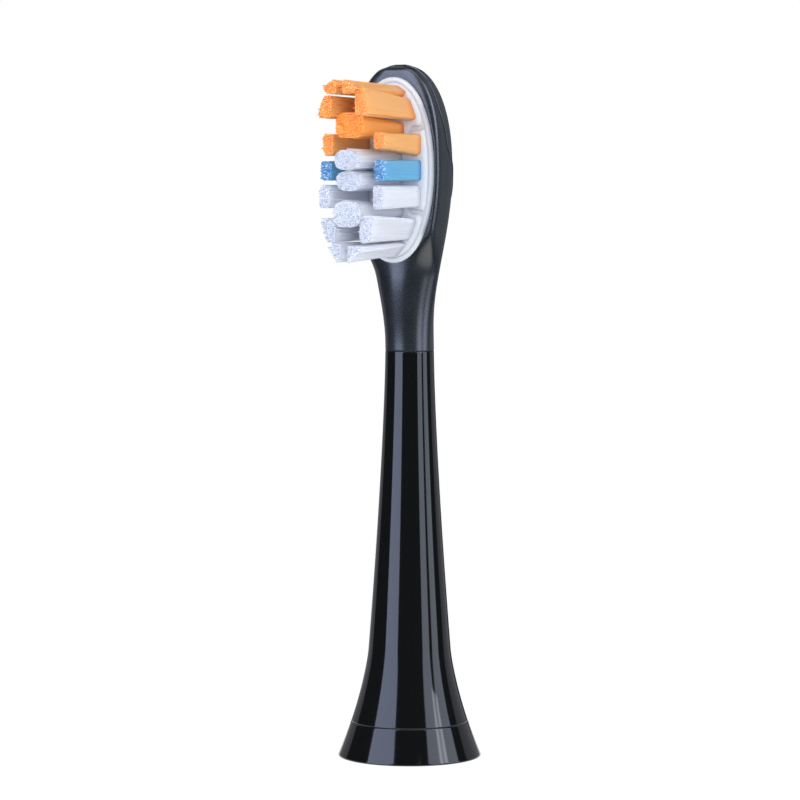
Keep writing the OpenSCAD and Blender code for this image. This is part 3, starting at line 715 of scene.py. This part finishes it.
def buildHead(s):
    heights = levels(s["firstZ"], s["faceZ"], s["rows"]) + tipRows([*range(3, 87, 3), 85.5, 87])
    lowEdge = []
    for a in range(0, 90, 15):
        turn = math.radians(a)
        shrink = 1 - s["edgeRound"] * (1 - math.sin(turn)) / s["sleeveR"]
        z = s["lowestZ"] + s["edgeRound"] * (1 - math.cos(turn))
        lowEdge.append([(x * shrink, y * shrink, z) for x, y, _ in headSection(z)])
    head = growRings("headGrip", lowEdge + [headSection(z) for z in heights])
    inward = s["pocketGap"] - s["lipLap"]
    oval = ovalPoints(s["faceHalfW"] + inward, s["faceHalfH"] + inward, s["facePower"], 96)
    cutAway(head, facePrism("pocket", oval, s["paddleY"], s["rimY"] + s["pocketPast"]))
    softenEdges(head, s["pocketEdge"], 3, 40)
    smooth(head, 40)
    dress(head, "root", softGrey, "soft_grey", "head_overmould")


partingLine = {
    "places": [(56, 1.25), (60, 0.95), (65, 0.0), (68.6, -1.25), (72.7, -1.95), (76.7, -1.9)],   # (height, y)
    "radius": 0.11, "sides": 8, "endRings": 4, "endShare": 0.2, "topShare": 0.9995,
    "lowRows": (56, 70, 28), "tipDegrees": range(26, 88, 3),
}


def buildPartingLine(s, head):
    # the fine raised line where the halves of the mould met
    first = head["frontSteps"]
    last = first + head["sideSteps"] + head["backSteps"] + 1

    def sideX(z, y):
        side = headSection(z)[first:last]
        for (x1, y1, _), (x2, y2, _) in zip(side, side[1:]):
            if y1 <= y <= y2:
                return x1 + (x2 - x1) * (y - y1) / (y2 - y1)
        return headX(z)

    path = []
    for z in levels(*s["lowRows"]) + tipRows(s["tipDegrees"]):
        k = max(i for i in range(len(s["places"]) - 1) if s["places"][i][0] <= z or i == 0)
        (z1, y1), (z2, y2) = s["places"][k], s["places"][k + 1]
        y = y1 + (y2 - y1) * smoothStep((z - z1) / (z2 - z1))
        path.append(Vector((sideX(z, y), y, z)))
    path.append(Vector((0, -head["tipY"], head["faceZ"] + head["tipH"] * s["topShare"])))
    path += [Vector((-p.x, p.y, p.z)) for p in reversed(path[:-1])]
    rings = []
    for i, point in enumerate(path):
        forward = (path[min(i + 1, len(path) - 1)] - path[max(i - 1, 0)]).normalized()
        side = forward.cross(Vector((0, 1, 0))).normalized()
        other = side.cross(forward)
        ends = min(i, len(path) - 1 - i, s["endRings"]) / s["endRings"]
        radius = s["radius"] * (s["endShare"] + (1 - s["endShare"]) * ends)
        turns = [math.tau * n / s["sides"] for n in range(s["sides"])]
        rings.append([tuple(point + (side * math.cos(t) + other * math.sin(t)) * radius) for t in turns])
    bead = growRings("partingLine", rings)
    smooth(bead, 60)
    dress(bead, "root", softGrey, "soft_grey")


buildHead(headShape)
buildPartingLine(partingLine, headShape)
print("soft head built")


faceShape = {
    "carrierHalfW": 4.68, "carrierHalfH": 9.65, "power": 2.1, "front": 3.9, "thick": 1.8,
    "edgeIn": 0.45, "edgeDeep": 0.4, "edgeSteps": 6,
    "grooveW": 0.42, "grooveLow": 2.92, "grooveHigh": 4.51, "grooveRise": 0.39,
    "waistHalfW": 1.7, "waistOut": 0.15, "sideIn": 2.74, "sideBack": 0.18, "slope": 0.02,
    "upperInset": 0.3, "middleInset": 0.1, "arcLift": 0.45, "arcEven": 1.05, "arcSteps": 44,
    "upperSteps": 60, "middleSteps": 64, "sideSteps": 32, "sideOver": 0.05,
    "upperPoints": 200, "middlePoints": 240,
    "pocketGap": 0.015, "floorY": 1.6, "lipY": 3.65, "lipH": 0.35, "webY": 3.5, "lipFlat": 0.3,
    "rimPoints": 160, "thinEdge": 0.4, "thinTop": 8.5, "thinFade": 2,
}


def grooveZ(x, s=faceShape):
    # the middle of the groove between two carriers: low at the waist, high at the sides
    start, end = s["waistHalfW"] + s["waistOut"], s["sideIn"] - s["sideBack"]
    return (s["grooveLow"] + (s["grooveHigh"] - s["grooveLow"]) * smoothStep((abs(x) - start) / (end - start))
            + s["grooveRise"] * (max(abs(x) - end, 0) / (s["carrierHalfW"] - end)) ** 2)


def grooveEdge(reach, side, steps, s=faceShape):
    # one edge of the groove, half its width above or below the middle
    points, e, half = [], s["slope"], side * s["grooveW"] / 2
    for i in range(steps + 1):
        x = reach * (1 - 2 * i / steps)
        tangent = Vector((2 * e, grooveZ(x + e) - grooveZ(x - e))).normalized()
        points.append((x - half * tangent.y, grooveZ(x) + half * tangent.x))
    return points


def eased(points, times):
    # a closed outline with its corners softened
    for _ in range(times):
        n = len(points)
        points = [((points[i - 1][0] + 2 * points[i][0] + points[(i + 1) % n][0]) / 4,
                   (points[i - 1][1] + 2 * points[i][1] + points[(i + 1) % n][1]) / 4) for i in range(n)]
    return points


def evenly(points, count):
    # the same closed outline with its points at even steps
    ends = [Vector(point) for point in points] + [Vector(points[0])]
    along = [0.0]
    for a, b in zip(ends, ends[1:]):
        along.append(along[-1] + (b - a).length)
    result, k = [], 0
    for i in range(count):
        target = along[-1] * i / count
        while along[k + 1] < target:
            k += 1
        t = (target - along[k]) / (along[k + 1] - along[k])
        result.append(tuple(ends[k].lerp(ends[k + 1], t)))
    return result


def moveIn(points, distance):
    # each point moved square to the outline
    n = len(points)
    result = []
    for i in range(n):
        t = (Vector(points[(i + 1) % n]) - Vector(points[i - 1])).normalized()
        result.append((points[i][0] - distance * t.y, points[i][1] + distance * t.x))
    return result


def carrierX(z, s=faceShape):
    return ovalX(z, s["carrierHalfW"], s["carrierHalfH"], s["power"])


def upperOutline(s=faceShape):
    high = s["grooveHigh"] + s["grooveRise"]
    edge = grooveEdge(carrierX(high) - s["upperInset"], 1, s["upperSteps"])
    start = math.asin(((high + s["arcLift"]) / s["carrierHalfH"]) ** s["arcEven"])
    arc = []
    for i in range(s["arcSteps"] + 1):
        a = start + (math.pi - 2 * start) * i / s["arcSteps"]
        arc.append((math.copysign(abs(math.cos(a)) ** (2 / s["power"]), math.cos(a)) * s["carrierHalfW"],
                    math.sin(a) ** (2 / s["power"]) * s["carrierHalfH"]))
    return evenly(eased(list(reversed(edge)) + arc, 3), s["upperPoints"])


def middleOutline(s=faceShape):
    high = s["grooveHigh"] + s["grooveRise"]
    top = grooveEdge(carrierX(high) - s["middleInset"], -1, s["middleSteps"])
    side = [(carrierX(z), z) for z in
            levels(-s["grooveHigh"] - s["sideOver"], s["grooveHigh"] + s["sideOver"], s["sideSteps"])]
    loop = side + top + [(-x, z) for x, z in reversed(side)] + [(x, -z) for x, z in reversed(top)]
    return evenly(eased(loop, 3), s["middlePoints"])


def flipped(points):
    return [(x, -z) for x, z in reversed(points)]


def lift(points, y):
    # an outline in the face's plane, set y in front of the axis
    return [(x, -y, headShape["faceZ"] + z) for x, z in points]


def buildMembrane(s, head):
    def faceOval(inward):
        return ovalPoints(head["faceHalfW"] - inward, head["faceHalfH"] - inward, s["power"], s["rimPoints"])

    lipRings = []
    for a in range(0, 91, 15):
        c, n = math.cos(math.radians(a)), math.sin(math.radians(a))
        lipRings.append(lift(faceOval(s["lipH"] * (1 - c)), head["rimY"] + s["lipH"] * n))
    for t in levels(0.2, 1, 4):
        lipRings.append(lift(faceOval(s["lipH"] + s["lipFlat"] * t),
                             s["lipY"] - (s["lipY"] - s["webY"]) * smoothStep(t)))
    body = faceOval(head["lipLap"])
    membrane = growRings("faceMembrane", [lift(body, head["paddleY"]), lift(body, head["rimY"])] + lipRings)
    for outline in (upperOutline(), middleOutline(), flipped(upperOutline())):
        pocket = facePrism("pocket", moveIn(outline, -s["pocketGap"]), s["floorY"],
                           s["lipY"] + head["pocketPast"])
        cutAway(membrane, pocket)
    # 1 where the lip is thinnest, at its outer edge
    thin = membrane.data.attributes.new("thin", "FLOAT", "POINT")
    power = s["power"]
    for i, vertex in enumerate(membrane.data.vertices):
        x, z = abs(vertex.co.x / mm), abs(vertex.co.z / mm - head["faceZ"])
        across = ((x / head["faceHalfW"]) ** power + (z / head["faceHalfH"]) ** power) ** (1 / power)
        edge = 1 - (1 - across) * head["faceHalfW"] / s["thinEdge"]
        thin.data[i].value = max(edge, 0) * smoothStep((s["thinTop"] - z) / s["thinFade"])
    smooth(membrane, 35)
    dress(membrane, "root", softWhite, "soft_white", "membrane")


def buildCarrier(name, outline, body, node, s=faceShape):
    # a plate with straight sides and a rounded front edge
    back = s["front"] - s["thick"]
    rings = [lift(outline, back), lift(outline, s["front"] - s["edgeDeep"])]
    for inward in levels(s["edgeIn"] / s["edgeSteps"], s["edgeIn"], s["edgeSteps"] - 1):
        outline = eased(moveIn(outline, s["edgeIn"] / s["edgeSteps"]), 4)
        along = 1 - inward / s["edgeIn"]
        rings.append(lift(outline, s["front"] - s["edgeDeep"] * (1 - math.sqrt(1 - along * along))))
    carrier = growRings(name, rings)
    smooth(carrier, 35)
    dress(carrier, body, carrierWhite, "carrier_white", node)


buildMembrane(faceShape, headShape)
buildCarrier("upperCarrier", upperOutline(), "upper_face", "upper_carrier")
buildCarrier("middleCarrier", middleOutline(), "middle_face", "middle_carrier")
buildCarrier("lowerCarrier", flipped(upperOutline()), "lower_face", "lower_carrier")
print("membrane and carriers built")


bristle = {
    "thick": 0.14, "pitch": 0.122, "gridTurn": 19, "gridReach": 40, "jitter": 0.04, "sides": 6,
    "sunk": 0.5, "bare": 0.14, "embedded": 0.03, "outerRows": 0.2, "outlinePoints": 48,
    "stubFrom": 0.93, "endShrink": 0.45, "raggedMm": 0.15, "leanDegrees": 1.5, "leanSpread": 0.33,
}


def ovalFoot(middleZ, halfW, halfH, power):
    return [(x, middleZ + z) for x, z in ovalPoints(halfW, halfH, power, 24)]


# each foot is the right-hand one, as (x, z) corners; "tipY" is how far its ends stand in front of the axis,
# "fan" how far they spread across and up, "lean" how far they lean out and up, on the right and on the left
tuftPlan = [
    {"name": "toe", "node": "toe_tuft", "body": "upper_face", "filament": "orange", "tipY": 14.15,
     "foot": [(0.45, 73.2), (1.6, 73.2), (2.05, 73.85), (0.95, 74.56), (0.45, 74.56)],
     "fan": [(1.03, 1.0)] * 2, "lean": [(0, 0.35)] * 2},
    {"name": "shoulder", "node": "shoulder_tuft", "body": "upper_face", "filament": "orange", "tipY": 13.3,
     "foot": [(1.5, 70.76), (3.15, 70.76), (3.35, 71.03), (2.55, 73.0), (1.5, 73.0)],
     "fan": [(0.95, 1.38), (0.95, 1.02)], "lean": [(-0.03, 0.9), (0, 0.29)]},
    {"name": "upperWaist", "node": "upper_waist_tuft", "body": "upper_face", "filament": "deepOrange",
     "tipY": 12.05, "foot": ovalFoot(69.71, 1.78, 0.88, 4.5), "fan": [(1.03, 1.55)], "lean": [(0, 0.45)]},
    {"name": "upperSide", "node": "upper_side_tuft", "body": "middle_face", "filament": "orange", "tipY": 11.3,
     "foot": [(2.7, 66.82), (3.6, 66.82), (3.95, 67.16), (3.98, 68.97), (3.85, 69.2), (2.7, 69.2)],
     "fan": [(1.03, 0.72), (1.03, 0.95)], "lean": [(0, 0.45), (0, 0.08)]},
    {"name": "indicator", "node": "indicator_tuft", "body": "middle_face", "filament": "blue", "tipY": 11.27,
     "foot": [(2.75, 64.17), (4.0, 64.17), (4.0, 66.4), (2.75, 66.4)],
     "fan": [(1.03, 0.98), (1.03, 0.87)], "lean": [(0, -0.03), (0.25, -0.05)]},
    {"name": "lowerSide", "node": "lower_side_tuft", "body": "middle_face", "filament": "white", "tipY": 11.54,
     "foot": [(2.7, 61.28), (3.85, 61.28), (3.98, 61.53), (3.95, 63.34), (3.6, 63.68), (2.7, 63.68)],
     "fan": [(1.03, 1.03)] * 2, "lean": [(0, -0.07), (0.3, -0.05)]},
    {"name": "upperCentre", "node": "upper_centre_tuft", "body": "middle_face", "filament": "white",
     "tipY": 12.65, "foot": ovalFoot(66.4, 1.62, 1.04, 2.6), "fan": [(1.0, 1.03)], "lean": [(0, 0)]},
    {"name": "lowerCentre", "node": "lower_centre_tuft", "body": "middle_face", "filament": "white",
     "tipY": 12.25, "foot": ovalFoot(64.15, 1.62, 1.04, 2.6), "fan": [(1.0, 1.03)], "lean": [(0, 0)]},
    {"name": "lowerWaist", "node": "lower_waist_tuft", "body": "lower_face", "filament": "white",
     "tipY": 12.65, "foot": ovalFoot(60.9, 1.72, 0.88, 3.4), "fan": [(1.03, 1.58)], "lean": [(0, -0.34)]},
    {"name": "hip", "node": "hip_tuft", "body": "lower_face", "filament": "white", "tipY": 12.4,
     "foot": [(1.5, 57.72), (2.55, 57.72), (3.45, 59.81), (3.2, 60.01), (1.5, 60.01)],
     "fan": [(0.97, 1.3), (0.97, 1.08)], "lean": [(0, 0.08), (0.15, -0.1)]},
    {"name": "heel", "node": "heel_tuft", "body": "lower_face", "filament": "white", "tipY": 13.15,
     "foot": [(0.45, 55.94), (0.9, 55.94), (2.1, 57.17), (1.65, 57.51), (0.45, 57.51)],
     "fan": [(1.03, 1.15), (1.03, 1.3)], "lean": [(0, -0.45), (0, -0.38)]},
]
slotNames = {"orange": "orange_filament", "deepOrange": "deep_orange_filament", "blue": "blue_filament",
             "white": "white_filament"}


def modelStrand(name, cuts, alongFrom, s):
    # one filament, a unit long, with its end rounded as brush makers grind it
    bpy.ops.object.select_all(action="DESELECT")
    bpy.ops.mesh.primitive_cylinder_add(vertices=s["sides"], radius=s["thick"] / 2 * mm, depth=1.0,
                                        location=(0, 0, 0.5))
    strand = startPiece(name)
    settle(strand)
    bpy.ops.object.mode_set(mode="EDIT")
    for height in cuts:
        bpy.ops.mesh.select_all(action="SELECT")
        bpy.ops.mesh.bisect(plane_co=(0, 0, height), plane_no=(0, 0, 1))
    bpy.ops.mesh.select_all(action="DESELECT")
    bpy.ops.object.mode_set(mode="OBJECT")
    along = strand.data.attributes.new("along", "FLOAT", "POINT")
    for i, vertex in enumerate(strand.data.vertices):
        if vertex.co.z > 0.999:
            vertex.co.x *= s["endShrink"]
            vertex.co.y *= s["endShrink"]
        along.data[i].value = alongFrom + (1 - alongFrom) * vertex.co.z
    for face in strand.data.polygons:
        face.select = face.center.z < 0.001 and abs(face.normal.z) > 0.9
    bpy.ops.object.mode_set(mode="EDIT")
    bpy.ops.mesh.select_mode(type="FACE")
    bpy.ops.mesh.delete(type="ONLY_FACE")
    bpy.ops.object.mode_set(mode="OBJECT")
    return strand


def inside(point, corners):
    # whether a point lies within a closed outline
    x, z = point
    hit = False
    for (x1, z1), (x2, z2) in zip(corners, corners[1:] + corners[:1]):
        if (z1 > z) != (z2 > z) and x < (x2 - x1) * (z - z1) / (z2 - z1) + x1:
            hit = not hit
    return hit


def leaned(plan, k, middle, x, z, share):
    # where a strand that stands at (x, z) has come to after this share of its length
    side = -1 if k else 1
    tipX = middle[0] + (x - middle[0]) * plan["fan"][k][0] + side * plan["lean"][k][0]
    tipZ = middle[1] + (z - middle[1]) * plan["fan"][k][1] + plan["lean"][k][1]
    return x + (tipX - x) * share, z + (tipZ - z) * share


def modelCore(plan, k, middle, outline, s):
    # the strands' packed inside as one soft block, so that no daylight shows between the rows
    foot, tip = faceShape["front"] - s["sunk"], plan["tipY"] - s["bare"]
    rings = []
    for share in levels(0, 1, 8):
        ring = [leaned(plan, k, middle, x, z, share) for x, z in outline]
        rings.append([(x, -foot - (tip - foot) * share, z) for x, z in ring])
    end = [leaned(plan, k, middle, x, z, 1) for x, z in moveIn(outline, s["thick"])]
    rings.append([(x, -tip, z) for x, z in end])
    core = growRings("core", rings, capStart=False)
    along = core.data.attributes.new("along", "FLOAT", "POINT")
    shade = core.data.attributes.new("shade", "FLOAT", "POINT")
    for i, vertex in enumerate(core.data.vertices):
        along.data[i].value = (-vertex.co.y / mm - foot) / (plan["tipY"] - foot)
        shade.data[i].value = 0.5
    return core


def plantTuft(strand, stub, plan, k, name, node, s=bristle):
    # strands on a turned grid; those behind the outer rows are only stubs that end the core
    corners = [(-x, z) for x, z in reversed(plan["foot"])] if k else plan["foot"]
    outline = eased(evenly(corners, s["outlinePoints"]), 3)
    xs, zs = [c[0] for c in corners], [c[1] for c in corners]
    middle = ((min(xs) + max(xs)) / 2, (min(zs) + max(zs)) / 2)
    edge, deep = moveIn(outline, s["embedded"]), moveIn(outline, s["outerRows"])
    copies = [modelCore(plan, k, middle, outline, s)]
    turned = math.radians(s["gridTurn"]) * (-1 if k else 1)
    across = (math.cos(turned), math.sin(turned))
    along = (math.cos(turned + math.pi / 3), math.sin(turned + math.pi / 3))
    wander = math.tan(math.radians(s["leanDegrees"])) * (plan["tipY"] - faceShape["front"])
    steps = range(-s["gridReach"], s["gridReach"] + 1)
    for i, j in itertools.product(steps, steps):
        px = middle[0] + s["pitch"] * (i * across[0] + j * along[0]) + random.uniform(-1, 1) * s["jitter"]
        pz = middle[1] + s["pitch"] * (i * across[1] + j * along[1]) + random.uniform(-1, 1) * s["jitter"]
        if not inside((px, pz), edge):
            continue
        foot = Vector((px, -faceShape["front"] + s["sunk"], pz)) * mm
        tipX, tipZ = leaned(plan, k, middle, px, pz, 1)
        tip = Vector((tipX + random.gauss(0, s["leanSpread"]) * wander,
                      -plan["tipY"] + random.uniform(-1, 1) * s["raggedMm"],
                      tipZ + random.gauss(0, s["leanSpread"]) * wander)) * mm
        hidden = inside((px, pz), deep)
        if hidden:
            foot = tip + (foot - tip) * (1 - s["stubFrom"])
        reach = tip - foot
        spin = Matrix.Rotation(random.uniform(0, math.tau), 4, "Z")
        turn = reach.to_track_quat("Z", "X").to_matrix().to_4x4() @ spin
        copy = (stub if hidden else strand).copy()
        copy.data = copy.data.copy()
        copy.data.transform(Matrix.Translation(foot) @ turn @ Matrix.Diagonal((1, 1, reach.length, 1)))
        shade = copy.data.attributes.new("shade", "FLOAT", "POINT")
        shade.data.foreach_set("value", [random.random()] * len(copy.data.vertices))
        bpy.context.collection.objects.link(copy)
        copies.append(copy)
    pick(*copies)
    bpy.ops.object.join()
    tuft = startPiece(name)
    smooth(tuft, 60)
    dress(tuft, plan["body"], filaments[plan["filament"]], slotNames[plan["filament"]], node)
    return len(copies) - 1


strand = modelStrand("strand", (0.5, 0.985), 0.0, bristle)
stub = modelStrand("stub", (0.8,), bristle["stubFrom"], bristle)
planted = 0
for plan in tuftPlan:
    if len(plan["fan"]) == 2:
        planted += plantTuft(strand, stub, plan, 0, plan["name"] + "TuftRight", plan["node"] + "_right")
        planted += plantTuft(strand, stub, plan, 1, plan["name"] + "TuftLeft", plan["node"] + "_left")
    else:
        planted += plantTuft(strand, stub, plan, 0, plan["name"] + "Tuft", plan["node"])
bpy.data.objects.remove(strand)
bpy.data.objects.remove(stub)
print("bristles planted:", planted)


# the parts inside the neck are shown as they are in the frame
for name, material in (("coupling_hub", milkyAcetal), ("shaft_clip", springSteel)):
    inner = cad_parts[name]
    inner.data.materials.clear()
    inner.data.materials.append(material)
print("inner parts finished")
